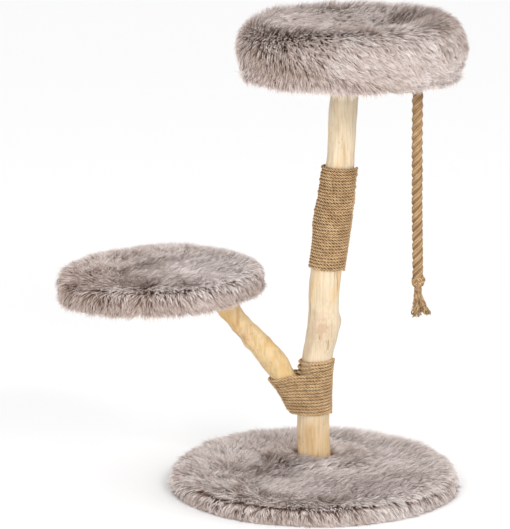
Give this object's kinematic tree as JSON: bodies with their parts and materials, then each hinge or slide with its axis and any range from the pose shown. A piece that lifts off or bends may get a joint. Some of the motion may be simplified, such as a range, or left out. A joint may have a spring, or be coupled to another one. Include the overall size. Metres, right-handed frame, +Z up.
{
  "type": "cat tree",
  "caption": "Cat tree with a furry round base, a natural wood trunk and branch, a furry platform, a furry nest bed, cord wraps and a hanging rope toy.",
  "frame": {"origin": "centre of the base's underside, on the floor", "axes": "+Z up, +X from the side platform to the hanging rope, +Y to the back"},
  "size_m": [0.8522, 0.604, 0.9899],
  "materials": {
    "fur": "long faux fur, frosted brown grey",
    "felt": "thin felt",
    "foam": "foam",
    "trunk_wood": "peeled, smooth, unvarnished",
    "board_wood": "raw board",
    "jute": "twisted natural fibre",
    "steel": "zinc plated"
  },
  "bodies": {
    "stand": {"base_board": "board_wood", "base_doubler": "board_wood", "doubler_screws": "steel", "base_fur": "fur", "base_staples": "steel", "base_felt": "felt", "base_bolt": "steel", "base_washer": "steel", "base_insert": "steel", "trunk": "trunk_wood", "branch": "trunk_wood", "branch_screws": "steel", "fork_wrap": "jute", "upper_wrap": "jute", "wrap_staples": "steel", "platform_board": "board_wood", "platform_pad": "foam", "platform_fur": "fur", "platform_staples": "steel", "platform_lining": "felt", "platform_tee_nut": "steel", "platform_stud": "steel", "platform_insert": "steel", "bed_board": "board_wood", "bed_pad": "foam", "bed_bolster": "foam", "bed_fur": "fur", "bed_staples": "steel", "bed_lining": "felt", "bed_tee_nut": "steel", "bed_stud": "steel", "bed_insert": "steel", "rope_stop_knot": "jute"},
    "rope_top": {"rope_neck": "jute"},
    "rope": {"hanging_rope": "jute", "rope_whipping": "jute", "rope_tassel": "jute"}
  },
  "joints": [
    {"name": "rope_swing_sideways", "type": "hinge", "parent": "stand", "child": "rope_top", "pos_m": [0.207, -0.03, 0.862], "axis": [0, -1, 0], "range_deg": [-12, 60]},
    {"name": "rope_swing_to_and_fro", "type": "hinge", "parent": "rope_top", "child": "rope", "pos_m": [0.207, -0.03, 0.84], "axis": [1, 0, 0], "range_deg": [-60, 60]}
  ]
}
